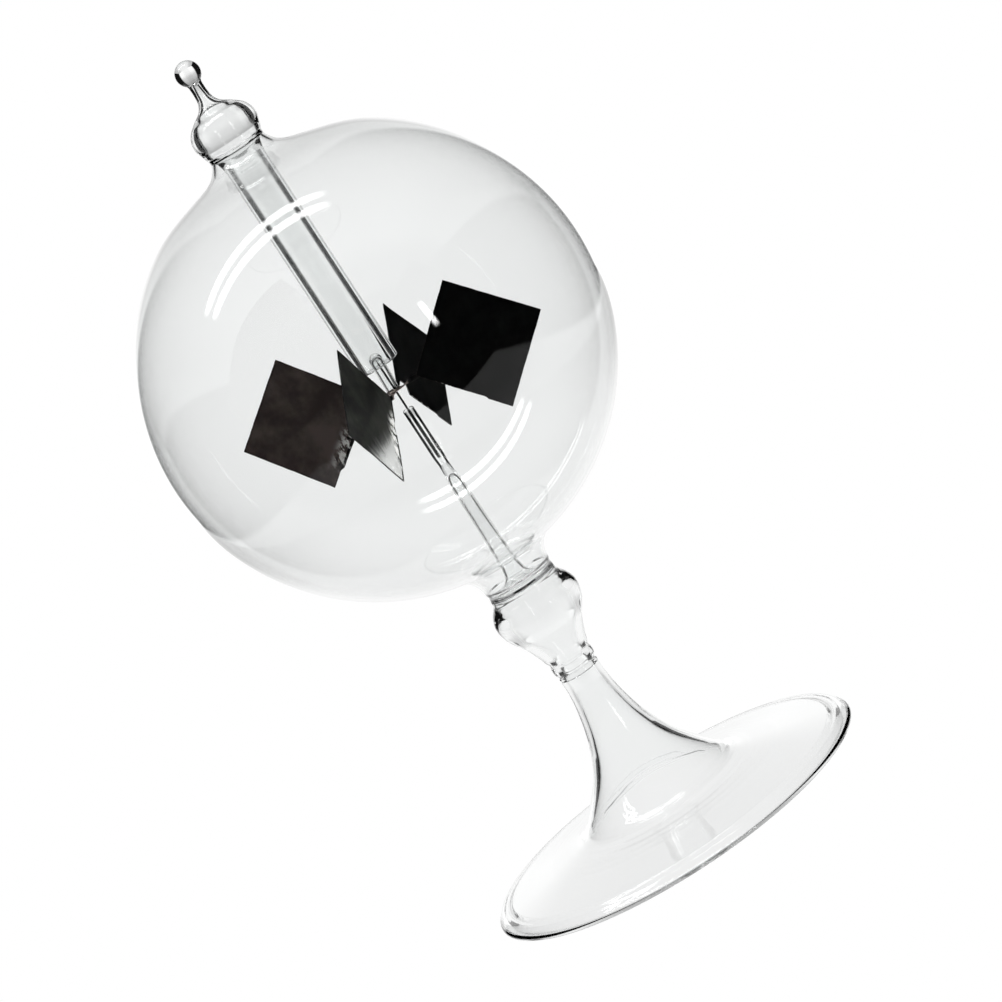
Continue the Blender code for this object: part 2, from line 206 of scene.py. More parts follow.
def curve_through(points, steps=CURVE_STEPS):
    """A Catmull-Rom curve through the points."""
    knots = [Vector(p) for p in points]
    knots = [2 * knots[0] - knots[1], *knots, 2 * knots[-1] - knots[-2]]
    line = []
    for before, start, end, after in zip(knots, knots[1:], knots[2:], knots[3:]):
        for i in range(steps):
            t = i / steps
            point = 0.5 * (
                2 * start
                + (end - before) * t
                + (2 * before - 5 * start + 4 * end - after) * t**2
                + (3 * start - before - 3 * end + after) * t**3
            )
            line.append(tuple(point))
    line.append(tuple(knots[-2]))
    return line


def inset(line, wall_at):
    """The line moved towards the axis side by wall_at(radius), for an outline that runs down its outside."""
    moved = []
    for i, (r, z) in enumerate(line):
        before = Vector(line[max(i - 1, 0)])
        after = Vector(line[min(i + 1, len(line) - 1)])
        along = (after - before).normalized()
        moved.append((r + along.y * wall_at(r), z - along.x * wall_at(r)))
    return moved


def low_mm(node):
    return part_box(node)[0].z / MM


def high_mm(node):
    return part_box(node)[1].z / MM


def middle_mm(node):
    return (low_mm(node) + high_mm(node)) / 2


def radius_mm(node):
    low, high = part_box(node)
    return (high.x - low.x) / 2 / MM


# --- mesh builders ---


def seam_ripple(angle, z):
    """How far a fused seam stands out or sinks at this angle and height, in mm."""
    offset = 0.0
    for centre, depth, width in SEAMS:
        near = math.exp(-(((z - centre) / width) ** 2))
        if near > 0.01:
            spot = Vector((2.1 * math.cos(angle), 2.1 * math.sin(angle), z * 0.9 + centre))
            offset += depth * near * noise.noise(spot * 1.3)
    return offset


def blown_wave(angle, z, r):
    """The slow unevenness of blown glass, in mm, smaller on slender places."""
    spot = Vector((math.cos(angle) * 1.2, math.sin(angle) * 1.2, z * 0.05))
    depth = 0.006 * r if r < 20 else 0.1
    return depth * noise.noise(spot)


def turn_mark(angle, z, r):
    """The fine rings where the horn opens out into the foot, in mm."""
    spacing, depth, middle, half_width = TURN_MARKS
    share = 1 - abs(r - middle) / half_width
    if z > FOOT_MARKS_TOP or share <= 0:
        return 0.0
    fade = noise.noise(Vector((math.cos(angle), math.sin(angle), r * 0.3)) * 1.7)
    return depth * share * (0.8 + fade) * math.sin(2 * math.pi * r / spacing)


def lathe(builder, outline, sides, uneven=True, closed=False):
    """Turns an outline that starts and ends on the axis, or that is closed on itself, into a surface."""
    rings = []
    for r, z in outline:
        if r < 1e-6:
            rings.append([builder.verts.new((0, 0, z * MM))] * sides)
            continue
        loop = []
        for i in range(sides):
            a = 2 * math.pi * i / sides
            moved = r
            if uneven:
                moved += seam_ripple(a, z) * min(1.0, r) + blown_wave(a, z, r) + turn_mark(a, z, r)
            loop.append(builder.verts.new((moved * math.cos(a) * MM, moved * math.sin(a) * MM, z * MM)))
        rings.append(loop)
    for upper, lower in zip(rings, rings[1:] + (rings[:1] if closed else [])):
        for i in range(sides):
            corners = list(dict.fromkeys([upper[i], upper[i - 1], lower[i - 1], lower[i]]))
            if len(corners) > 2:
                builder.faces.new(corners)


def piece_from(name, builder, look, body, replaced, matrix=None):
    mesh = bpy.data.meshes.new(name)
    builder.to_mesh(mesh)
    builder.free()
    mesh.shade_smooth()
    mesh.materials.append(look)
    made = bpy.data.objects.new(name, mesh)
    if matrix is not None:
        made.matrix_world = matrix
    bpy.context.scene.collection.objects.link(made)
    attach(made, body)
    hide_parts(*replaced)
    return made


# --- materials ---


def new_material(name):
    made = bpy.data.materials.new(name)
    made.use_nodes = True
    return made, made.node_tree, made.node_tree.nodes["Principled BSDF"]


def glass_look(name):
    made, _, shader = new_material(name)
    shader.inputs["Base Color"].default_value = (*GLASS_TINT, 1)
    shader.inputs["Roughness"].default_value = 0.0
    shader.inputs["IOR"].default_value = 1.5
    shader.inputs["Specular IOR Level"].default_value = 0.15
    shader.inputs["Transmission Weight"].default_value = 1.0
    return made


def add(tree, kind, **settings):
    node = tree.nodes.new(kind)
    for key, value in settings.items():
        setattr(node, key, value)
    return node


def noise_node(tree, scale, detail, rough, vector):
    node = add(tree, "ShaderNodeTexNoise")
    node.inputs["Scale"].default_value = scale
    node.inputs["Detail"].default_value = detail
    node.inputs["Roughness"].default_value = rough
    tree.links.new(vector, node.inputs["Vector"])
    return node.outputs["Fac"]


def ramp(tree, value, stops):
    """A colour ramp. Each stop is its place and a colour or a grey level."""
    node = add(tree, "ShaderNodeValToRGB")
    elements = node.color_ramp.elements
    while len(elements) < len(stops):
        elements.new(0.5)
    for element, (place, colour) in zip(elements, stops):
        element.position = place
        element.color = (*colour, 1) if isinstance(colour, tuple) else (colour, colour, colour, 1)
    tree.links.new(value, node.inputs["Fac"])
    return node.outputs["Color"]


def math_node(tree, operation, first, second=None, third=None):
    node = add(tree, "ShaderNodeMath", operation=operation)
    for socket, value in zip(node.inputs, (first, second, third)):
        if value is None:
            continue
        if isinstance(value, (int, float)):
            socket.default_value = value
        else:
            tree.links.new(value, socket)
    return node.outputs["Value"]


def times(tree, first, second):
    return math_node(tree, "MULTIPLY", first, second)


def swing(tree, value, gain, level):
    """The level moved up and down by a value that runs from 0 to 1."""
    return math_node(tree, "MULTIPLY_ADD", math_node(tree, "SUBTRACT", value, 0.5), gain, level)


def smooth_step(tree, value, start, end, low=0.0, high=1.0):
    node = add(tree, "ShaderNodeMapRange", interpolation_type="SMOOTHSTEP")
    tree.links.new(value, node.inputs["Value"])
    node.inputs["From Min"].default_value = start
    node.inputs["From Max"].default_value = end
    node.inputs["To Min"].default_value = low
    node.inputs["To Max"].default_value = high
    return node.outputs["Result"]


def fade_out(tree, value, start, end):
    return smooth_step(tree, value, start, end, 1.0, 0.0)


def object_axes(tree):
    coords = add(tree, "ShaderNodeTexCoord")
    split = add(tree, "ShaderNodeSeparateXYZ")
    tree.links.new(coords.outputs["Object"], split.inputs["Vector"])
    return coords.outputs["Object"], split.outputs["X"], split.outputs["Y"], split.outputs["Z"]


def rough_up(tree, shader, height, distance, strength):
    """Bumps the surface by the height, over a distance in metres."""
    bump = add(tree, "ShaderNodeBump")
    bump.inputs["Distance"].default_value = distance
    bump.inputs["Strength"].default_value = strength
    tree.links.new(height, bump.inputs["Height"])
    tree.links.new(bump.outputs["Normal"], shader.inputs["Normal"])


def soot_look(name):
    """Lamp-black, dead matt and faintly mottled."""
    made, tree, shader = new_material(name)
    place, _, _, _ = object_axes(tree)
    mottle = noise_node(tree, 260, 5, 0.6, place)
    colour = ramp(tree, mottle, [(0.35, 0.006), (0.7, 0.015)])
    tree.links.new(colour, shader.inputs["Base Color"])
    shader.inputs["Roughness"].default_value = 0.75
    shader.inputs["Specular IOR Level"].default_value = 0.07
    rough_up(tree, shader, noise_node(tree, 3000, 3, 0.6, place), 0.00003, 0.5)
    return made


def combine(tree, x, y, z):
    node = add(tree, "ShaderNodeCombineXYZ")
    for socket, value in zip(node.inputs, (x, y, z)):
        if isinstance(value, (int, float)):
            socket.default_value = value
        else:
            tree.links.new(value, socket)
    return node.outputs["Vector"]


def mix_colour(tree, share, first, second):
    node = add(tree, "ShaderNodeMix", data_type="RGBA")
    tree.links.new(share, node.inputs["Factor"])
    for socket, value in ((node.inputs[6], first), (node.inputs[7], second)):
        if isinstance(value, tuple):
            socket.default_value = (*value, 1)
        else:
            tree.links.new(value, socket)
    return node.outputs[2]


def mica_look(name, dark, mid, silver_and_backlight, silver_below, flake_share, clear):
    """Smoky mica, silvery below a height (metres from its centre), flaking along its lower inner edge.

    Light from behind comes through its silvery and flaked places. Their silvery colour is partly the mica's
    own lustre and partly painted light from behind, and a painted glow in their own colour stands for the
    rest of that light: clear is its strength.
    """
    made, tree, shader = new_material(name)
    place, x, _, z = object_axes(tree)

    # clouds, and streaks that fan out from a point below the lowest corner
    cloud = noise_node(tree, 210, 6, 0.65, place)
    blotch = noise_node(tree, 75, 3, 0.5, place)
    fan = math_node(tree, "DIVIDE", x, math_node(tree, "ADD", z, 1.25 * VANE_HALF))
    fan_place = combine(tree, times(tree, fan, 14.0), times(tree, z, 130.0), 0.0)
    streak = noise_node(tree, 1.0, 6, 0.65, fan_place)
    level = smooth_step(tree, z, silver_below + 0.006, silver_below - 0.004)
    level = swing(tree, streak, 0.75, level)
    level = swing(tree, cloud, 0.45, level)
    smoke = swing(tree, blotch, 0.9, cloud)
    colour = mix_colour(tree, smooth_step(tree, smoke, 0.3, 0.75), dark, mid)
    # the silvery colour is partly the mica's own lustre and partly painted light from behind
    colour = mix_colour(tree, smooth_step(tree, level, 0.25, 1.0), colour, silver_and_backlight)

    # the lower inner edge: across it from -1 outside, and along it from -1 at the lowest corner
    inwards = math_node(tree, "ADD", x, z)
    edge = math_node(tree, "DIVIDE", inwards, VANE_HALF)
    along = math_node(tree, "DIVIDE", math_node(tree, "SUBTRACT", z, x), VANE_HALF)
    near_edge = smooth_step(tree, edge, -0.9 + 0.3 * flake_share, -0.86)
    lower = times(tree, smooth_step(tree, z, -0.001, -0.004), smooth_step(tree, along, -0.72, -0.45))

    # white flakes, dark gaps between them and a dark line outside them
    crumb_place = combine(tree, times(tree, x, 900.0), 0.0, times(tree, z, 420.0))
    crumbs = noise_node(tree, 1.0, 6, 0.7, crumb_place)
    flakes = smooth_step(tree, crumbs, 0.64 - 0.2 * flake_share, 0.72 - 0.2 * flake_share)
    flakes = times(tree, times(tree, flakes, near_edge), lower)
    gaps = times(tree, smooth_step(tree, crumbs, 0.47, 0.38), times(tree, near_edge, lower))
    line = times(tree, smooth_step(tree, edge, -0.925, -0.945), smooth_step(tree, crumbs, 0.62, 0.5))
    colour = mix_colour(tree, gaps, colour, DULL_BLACK)
    colour = mix_colour(tree, flakes, colour, FLAKE_WHITE)
    colour = mix_colour(tree, line, colour, LINE_BLACK)

    # the cut rim all round
    across = math_node(tree, "ABSOLUTE", math_node(tree, "SUBTRACT", x, z))
    rim = math_node(tree, "MAXIMUM", math_node(tree, "ABSOLUTE", inwards), across)
    rim = smooth_step(tree, math_node(tree, "DIVIDE", rim, VANE_HALF), 0.974, 0.984)
    colour = mix_colour(tree, rim, colour, RIM_BROWN)
    tree.links.new(colour, shader.inputs["Base Color"])

    tree.links.new(smooth_step(tree, level, 0.2, 0.9, 0.0, 0.3), shader.inputs["Metallic"])
    tree.links.new(smooth_step(tree, cloud, 0.3, 0.7, 0.34, 0.55), shader.inputs["Roughness"])
    shader.inputs["Specular IOR Level"].default_value = 0.35

    # painted light from behind: a glow on the silvery places and the flakes, none on the rim
    glow_mask = math_node(tree, "MAXIMUM", smooth_step(tree, level, 0.35, 1.1), times(tree, flakes, 1.6))
    glow_mask = times(tree, glow_mask, math_node(tree, "SUBTRACT", 1.0, rim))
    tree.links.new(colour, shader.inputs["Emission Color"])
    tree.links.new(times(tree, glow_mask, clear), shader.inputs["Emission Strength"])

    cells = add(tree, "ShaderNodeTexVoronoi", feature="DISTANCE_TO_EDGE")
    cells.inputs["Scale"].default_value = 420
    tree.links.new(place, cells.inputs["Vector"])
    crinkle = math_node(tree, "MULTIPLY_ADD", cells.outputs["Distance"], 0.5, cloud)
    crinkle = math_node(tree, "MULTIPLY_ADD", flakes, 0.6, crinkle)
    rough_up(tree, shader, crinkle, 0.0002, 0.35)
    return made


def star_look(name):
    """Pinkish sheet metal, its tabs black beyond a radius from the axis."""
    made, tree, shader = new_material(name)
    place, x, y, _ = object_axes(tree)
    grain = noise_node(tree, 900, 5, 0.6, place)
    out = math_node(tree, "SQRT", math_node(tree, "ADD", times(tree, x, x), times(tree, y, y)))
    out = swing(tree, grain, 0.0012, out)
    colour = mix_colour(tree, grain, *STAR_COLOURS)
    colour = mix_colour(tree, smooth_step(tree, out, *TABS_BLACK_FROM), colour, DULL_BLACK)
    tree.links.new(colour, shader.inputs["Base Color"])
    shader.inputs["Metallic"].default_value = 0.55
    tree.links.new(smooth_step(tree, grain, 0.3, 0.7, 0.35, 0.5), shader.inputs["Roughness"])
    rough_up(tree, shader, grain, 0.00005, 0.4)
    return made


def metal_look(name, colour, roughness, scale):
    """Plain metal with a fine grain in its colour and its roughness."""
    made, tree, shader = new_material(name)
    place, _, _, _ = object_axes(tree)
    grain = noise_node(tree, scale, 5, 0.6, place)
    darker = tuple(0.6 * value for value in colour)
    tree.links.new(ramp(tree, grain, [(0.3, darker), (0.7, colour)]), shader.inputs["Base Color"])
    shader.inputs["Metallic"].default_value = 1.0
    dullness = smooth_step(tree, grain, 0.3, 0.7, roughness, roughness + 0.15)
    tree.links.new(dullness, shader.inputs["Roughness"])
    return made


# --- glass ---


def crown_outside(globe_top):
    """From the top of the bead down to the globe's shoulder."""
    bead_r = radius_mm("finial_ball")
    bead_z = high_mm("finial_ball") - bead_r
    bubble_r = radius_mm("crown_bubble")
    waist_z = middle_mm("crown_seal")
    bead = arc(0, bead_z, bead_r, 90, -52, 26)
    bead[0] = (0, bead_z + bead_r)
    rest = curve_through(
        [
            bead[-1],
            (1.5, 183.9),
            (1.5, 182.0),
            (1.75, 180.4),
            (2.7, 178.9),
            (4.6, 177.6),
            (6.4, 176.1),
            (bubble_r - 0.15, 174.4),
            (bubble_r, 172.8),
            (bubble_r - 0.5, 171.1),
            (6.8, 170.35),
            (6.45, waist_z + 0.35),
            (6.3, waist_z - 0.2),
            globe_top,
        ]
    )
    return bead + rest[1:]


def globe_line():
    """The outside of the globe, with the flare under its crown and the fillet into its lower neck."""
    centre = Vector((0, globe_centre_z()))
    radius = radius_mm("globe")
    waist_z = middle_mm("crown_seal") - 0.5
    rise = waist_z + FLARE_DIP - centre.y - math.sqrt(radius**2 - WAIST_RADIUS**2)
    line = []
    for i in range(FLARE_STEPS + 1):
        r = WAIST_RADIUS + (FLARE_END - WAIST_RADIUS) * (i / FLARE_STEPS) ** 2
        share = min(2 * (FLARE_END - r) / FLARE_END, 1.0)
        z = centre.y + math.sqrt(radius**2 - r**2) - FLARE_DIP * share**2 * (3 - 2 * share)
        line.append((r, z + rise * math.exp((WAIST_RADIUS - r) / FLARE_FALL)))
    top_turn = math.degrees(math.asin(FLARE_END / radius))
    low = Vector((NECK_RADIUS + NECK_FILLET, 0))
    low.y = centre.y - math.sqrt((radius + NECK_FILLET) ** 2 - low.x**2)
    low_turn = math.degrees(math.atan2(low.x, centre.y - low.y))
    line += arc(*centre, radius, 90 - top_turn, low_turn - 90, 120)[1:]
    line += arc(*low, NECK_FILLET, 90 + low_turn, 180, 16)[1:]
    return line


def horn_wall(r):
    """The wall is thin at the horn's throat, thickest lower down, and thins out again towards the rim."""
    throat = min(max((r - 4.8) / 3.2, 0.0), 1.0)
    share = min(max((r - 12) / 16, 0.0), 1.0)
    return THROAT_WALL + (HORN_WALL - THROAT_WALL) * throat + (DISC_WALL - HORN_WALL) * share


def horn_outside():
    return curve_through(
        [
            (4.6, 38.5),
            (4.6, 35.0),
            (5.3, 30.0),
            (7.0, 23.5),
            (10.2, 16.8),
            (15.6, 10.2),
            (19.5, 7.2),
            (26.0, 5.5),
            (33.0, 4.1),
            (40.2, 3.0),
        ],
        HORN_STEPS,
    )


def stem_outside():
    """From the holder's foot down to the flare."""
    return curve_through([(1.2, 88.8), (1.5, 85.0), (1.65, 76.0), (1.95, 67.6), (2.15, 65.4), (2.4, 63.8)])


def glass_outline_outer():
    """All that touches the outside air, from the bead's top round the foot's lip and up inside the stem."""
    sphere = globe_line()
    line = crown_outside(sphere[0])
    line += sphere[1:]
    seal_z = middle_mm("globe_seal")
    foot_seal_z = middle_mm("foot_seal")
    bulge = radius_mm("baluster")
    line += curve_through(
        [
            sphere[-1],
            (7.65, 62.0),
            (7.6, seal_z + 0.4),
            (7.8, seal_z - 0.5),
            (7.85, seal_z - 1.1),
            (8.3, 58.7),
            (9.15, 57.6),
            (bulge, 55.2),
            (9.3, 51.9),
            (7.1, 48.3),
            (5.6, 44.8),
            (5.1, 43.3),
            (4.65, foot_seal_z + 1.45),
            (4.9, foot_seal_z + 0.7),
            (4.85, foot_seal_z - 0.7),
            (4.4, foot_seal_z - 1.45),
            (4.6, foot_seal_z - 2.2),
            (4.6, 38.2),
        ]
    )[1:]
    horn = horn_outside()
    foot_r = radius_mm("foot")
    lip_r = foot_r - LIP_RADIUS
    line += horn[1:]
    line += curve_through([horn[-1], (foot_r - 1.5, 2.35), (foot_r - 0.45, 1.2)], 6)[1:]
    line += arc(lip_r, LIP_RADIUS, LIP_RADIUS, 25, -90, 12)
    line += [(lip_r - 1.2, 0.0), (lip_r - 1.6, 0.15), (lip_r - 2.1, 0.6)]
    under = inset(horn, horn_wall)[::-1]
    line += under[2:-2]
    line += curve_through(
        [
            under[-3],
            (3.15, foot_seal_z - 1.2),
            (3.2, foot_seal_z + 0.6),
            (3.6, 44.0),
            (4.8, 47.0),
            (5.95, 49.3),
            (6.95, 51.5),
            (7.55, 53.5),
            (7.85, 55.2),
            (7.95, 57.0),
            (7.65, 58.5),
            (7.25, 59.6),
            (7.12, 60.3),
            (6.6, 60.6),
            (5.6, 60.95),
            (4.7, 61.4),
            (3.7, 61.9),
            (2.8, 62.5),
            (2.1, 63.25),
        ]
    )[1:]
    stem = inset(stem_outside(), lambda r: STEM_WALL)[::-1]
    line += [point for point in stem if 64.0 < point[1] < 85.5]
    line += curve_through([(1.0, 86.0), (0.8, 87.2), (0.4, 88.0), (0, 88.25)], 6)
    return line


def glass_outline_cavity():
    """The evacuated inside, from the sealed end of the exhaust bore to the needle's socket."""
    sphere = inset(globe_line(), lambda r: GLOBE_WALL)
    bubble_r = radius_mm("crown_bubble")
    tube_r = tube_radius_mm()
    end_z = low_mm("guard_tube")
    line = [(0, 184.9), (0.3, 184.5)]
    line += curve_through(
        [
            (0.45, 184.0),
            (0.65, 182.0),
            (0.85, 180.3),
            (1.6, 178.7),
            (3.2, 177.1),
            (4.7, 175.9),
            (5.6, 174.4),
            (bubble_r - 1.7, 172.7),
            (5.75, 170.9),
            (5.45, 169.9),
            (4.95, 169.0),
            (4.35, 168.1),
            (3.85, 167.1),
            (3.45, 165.9),
            (TUBE_BORE, 164.6),
            (TUBE_BORE, 163.0),
        ]
    )
    wall = tube_r - TUBE_BORE
    line += [(TUBE_BORE, z) for z in (150, 136, 124, 119)]
    line += arc(TUBE_BORE + wall / 2, end_z + wall / 2, wall / 2, 180, 360, 16)
    line += [(tube_r, z) for z in (119, 124, 136, 150)]
    line += curve_through(
        [
            (tube_r, 163.5),
            (tube_r + 0.08, 165.6),
            (tube_r + 0.3, 167.0),
            (tube_r + 0.6, 168.0),
            sphere[0],
        ]
    )
    line += sphere[1:]
    line += curve_through(
        [
            sphere[-1],
            (NECK_RADIUS - GLOBE_WALL, 62.8),
            (7.0, 61.8),
            (6.88, 61.25),
            (6.4, 61.1),
            (5.6, 61.4),
            (4.8, 61.9),
            (3.9, 62.4),
            (3.1, 63.0),
            (2.6, 63.6),
        ]
    )[1:]
    line += [point for point in stem_outside()[::-1] if point[1] > 63.7]
    hold_r = radius_mm("needle_holder")
    hold_top = high_mm("needle_holder")
    line += curve_through([(1.2, 88.8), (1.12, 90.8), (hold_r, 93.0), (hold_r, 98.0)])[1:]
    line += [(hold_r, 101.0)]
    wall = hold_r - SOCKET_RADIUS
    line += arc(hold_r - wall / 2, hold_top - wall / 2, wall / 2, 0, 180, 16)
    line += [(SOCKET_RADIUS, z) for z in (101, 97, 94, 92.4)]
    line += [(SOCKET_RADIUS * 0.7, 92.1), (0, 92.0)]
    return line


def globe_centre_z():
    """The globe is widest at its centre, so the mesh's widest ring gives the height."""
    widest = max(frame["nodes"]["globe"].data.vertices, key=lambda v: v.co.x)
    return widest.co.z / MM


def tube_radius_mm():
    """The guard tube's outer radius where it is straight."""
    verts = frame["nodes"]["guard_tube"].data.vertices
    return max(v.co.xy.length / MM for v in verts if v.co.z / MM < TUBE_STRAIGHT_TOP)


def make_glass(look):
    builder = bmesh.new()
    lathe(builder, glass_outline_outer(), SIDES_GLOBE)
    lathe(builder, glass_outline_cavity(), SIDES_GLOBE)
    bmesh.ops.recalc_face_normals(builder, faces=builder.faces)
    flip_cavity(builder)
    piece_from("blown_glass", builder, look, "stand", STAND_GLASS)


def flip_cavity(builder):
    """Turns the inner surface to face the vacuum. It is the one that doesn't hold the topmost vertex."""
    builder.verts.ensure_lookup_table()
    top = max(builder.verts, key=lambda v: v.co.z)
    outer = {top}
    edge = [top]
    while edge:
        vert = edge.pop()
        for link in vert.link_edges:
            other = link.other_vert(vert)
            if other not in outer:
                outer.add(other)
                edge.append(other)
    inner = [face for face in builder.faces if face.verts[0] not in outer]
    bmesh.ops.reverse_faces(builder, faces=inner)


# --- rotor ---


def pivot_matrix():
    pos = Vector(frame["joints"][0]["pos_m"])
    return Matrix.Translation(pos) @ Matrix.Rotation(math.radians(CUP_LEAN_DEG), 4, "Y")


def star_matrix():
    drop = Matrix.Translation((0, 0, -STAR_DROP * MM))
    return pivot_matrix() @ drop @ Matrix.Rotation(math.radians(STAR_LEAN_DEG), 4, "Y")


def make_cup(look):
    builder = bmesh.new()
    wall = CUP_RADIUS - CUP_BORE
    line = arc(0, CUP_DOME, CUP_RADIUS, 90, 0, 16)
    line[0] = (0, CUP_DOME + CUP_RADIUS)
    line += [(CUP_RADIUS, z) for z in CUP_WALL_HEIGHTS]
    line += arc(CUP_BORE + wall / 2, CUP_LIP, wall / 2, 0, -180, 8)
    line += [(CUP_BORE, z) for z in reversed(CUP_WALL_HEIGHTS)]
    line += arc(0, CUP_CEILING, CUP_BORE, 0, 90, 16)
    line[-1] = (0, CUP_CEILING + CUP_BORE)
    lathe(builder, line, SIDES_SMALL, uneven=False)
    bmesh.ops.recalc_face_normals(builder, faces=builder.faces)
    piece_from("cup_glass", builder, look, "rotor", ["bearing_cup"], pivot_matrix())


def make_needle(look):
    tip = high_mm("needle")
    end = low_mm("needle")
    line = [(0, tip), (0.04, tip - 0.08)]
    shaft = [(NEEDLE_RADIUS, tip - 2.4), (NEEDLE_RADIUS, tip - 3.4)]
    line += curve_through([(0.05, tip - 0.12), (0.15, tip - 1.2), *shaft], 6)
    line += [(NEEDLE_RADIUS, end + 0.12), (NEEDLE_RADIUS - 0.05, end + 0.03), (0, end)]
    builder = bmesh.new()
    lathe(builder, line, SIDES_NEEDLE, uneven=False)
    bmesh.ops.recalc_face_normals(builder, faces=builder.faces)
    piece_from("needle_steel", builder, look, "stand", ["needle"])


def plate_frame(vane, coat):
    """The vane's own axes: X out along its arm, -Y towards its black face, Z up. Half its diagonal too."""
    corners = {tuple(round(c, 6) for c in v.co) for v in frame["nodes"][vane].data.vertices}
    corners = [Vector(c) for c in corners]
    centre = sum(corners, Vector()) / len(corners)
    faces = frame["nodes"][vane].data.polygons
    normal = max(faces, key=lambda f: f.area).normal.copy()
    low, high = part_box(coat)
    if normal.dot((low + high) / 2 - centre) > 0:
        normal.negate()
    top = max(corners, key=lambda c: c.z) - centre
    top -= normal * top.dot(normal)
    half = top.length
    up = top.normalized()
    out = normal.cross(up)
    turn = Matrix((out, normal, up)).transposed().to_4x4()
    return Matrix.Translation(centre) @ turn, half


def edge_cut(number, edge, t):
    """How far scissors strayed inwards along an edge, as a share of the half side."""
    spot = Vector((t * 2.3, number * 7.1, edge * 3.7))
    cut = 0.006 + 0.007 * noise.noise(spot) + 0.004 * noise.noise(spot * 5.0)
    for start, end, depth in CUTS.get((number, edge), ()):
        rise = min(max((t - start) / CUT_SLOPE, 0.0), 1.0)
        fall = min(max((end - t) / CUT_SLOPE, 0.0), 1.0)
        cut += depth * min(rise, fall)
    return cut


def plate_mesh(number, half, depths, shrink):
    """A hand-cut square sheet on its corner, between two depths along Y, slightly warped."""
    steps = PLATE_STEPS
    builder = bmesh.new()
    layers = []
    for depth in depths:
        grid = []
        for i in range(steps + 1):
            row = []
            for j in range(steps + 1):
                a = -1 + 2 * i / steps
                b = -1 + 2 * j / steps
                wide = 1 - shrink
                a_cut = a * (wide - edge_cut(number, 0 if a > 0 else 1, b) * abs(a) ** 6)
                b_cut = b * (wide - edge_cut(number, 2 if b > 0 else 3, a) * abs(b) ** 6)
                x = (a_cut - b_cut) / 2 * half
                z = (a_cut + b_cut) / 2 * half
                warp = VANE_WARP * noise.noise(Vector((a * 1.4, b * 1.4, number * 5.3)))
                row.append(builder.verts.new((x, (depth + warp) * MM, z)))
            grid.append(row)
        layers.append(grid)
    front, back = layers
    for i in range(steps):
        for j in range(steps):
            for grid in (front, back):
                builder.faces.new([grid[i][j], grid[i + 1][j], grid[i + 1][j + 1], grid[i][j + 1]])
    for k in range(steps):
        for a, b in (
            ((k, 0), (k + 1, 0)),
            ((k, steps), (k + 1, steps)),
            ((0, k), (0, k + 1)),
            ((steps, k), (steps, k + 1)),
        ):
            builder.faces.new([front[a[0]][a[1]], front[b[0]][b[1]], back[b[0]][b[1]], back[a[0]][a[1]]])
    bmesh.ops.recalc_face_normals(builder, faces=builder.faces)
    return builder


def make_vanes(looks, soot):
    for number, look in zip(VANES, looks):
        vane = f"vane_{number}"
        coat = f"blacking_{number}"
        place, half = plate_frame(vane, coat)
        mica = plate_mesh(number, half, MICA_DEPTHS, 0.0)
        black = plate_mesh(number, half, COAT_DEPTHS, COAT_MARGIN)
        for made in (
            piece_from(f"mica_{number}", mica, look, "rotor", [vane], place),
            piece_from(f"soot_{number}", black, soot, "rotor", [coat], place),
        ):
            made.data.set_sharp_from_angle(angle=math.radians(PLATE_CREASE_DEG))


def strip(builder, path, sections):
    """A strip along the path. Each section is its width, thickness and twist from flat, in degrees."""
    loops = []
    for i, point in enumerate(path):
        ahead = (Vector(path[min(i + 1, len(path) - 1)]) - Vector(path[max(i - 1, 0)])).normalized()
        side = Vector((0, 0, 1)).cross(ahead).normalized()
        up = ahead.cross(side)
        width, thick, twist = sections[i]
        turn = math.radians(twist)
        across = math.cos(turn) * side + math.sin(turn) * up
        through = -math.sin(turn) * side + math.cos(turn) * up
        round_off = 0.25 * thick
        loop = []
        for w, t in (
            (0.5 * width, 0.5 * thick - round_off),
            (0.5 * width - round_off, 0.5 * thick),
            (round_off - 0.5 * width, 0.5 * thick),
            (-0.5 * width, 0.5 * thick - round_off),
            (-0.5 * width, round_off - 0.5 * thick),
            (round_off - 0.5 * width, -0.5 * thick),
            (0.5 * width - round_off, -0.5 * thick),
            (0.5 * width, round_off - 0.5 * thick),
        ):
            loop.append(builder.verts.new((Vector(point) + w * across + t * through) * MM))
        loops.append(loop)
    builder.faces.new(loops[0])
    builder.faces.new(loops[-1][::-1])
    for first, second in zip(loops, loops[1:]):
        for k in range(len(first)):
            builder.faces.new([first[k], first[k - 1], second[k - 1], second[k]])


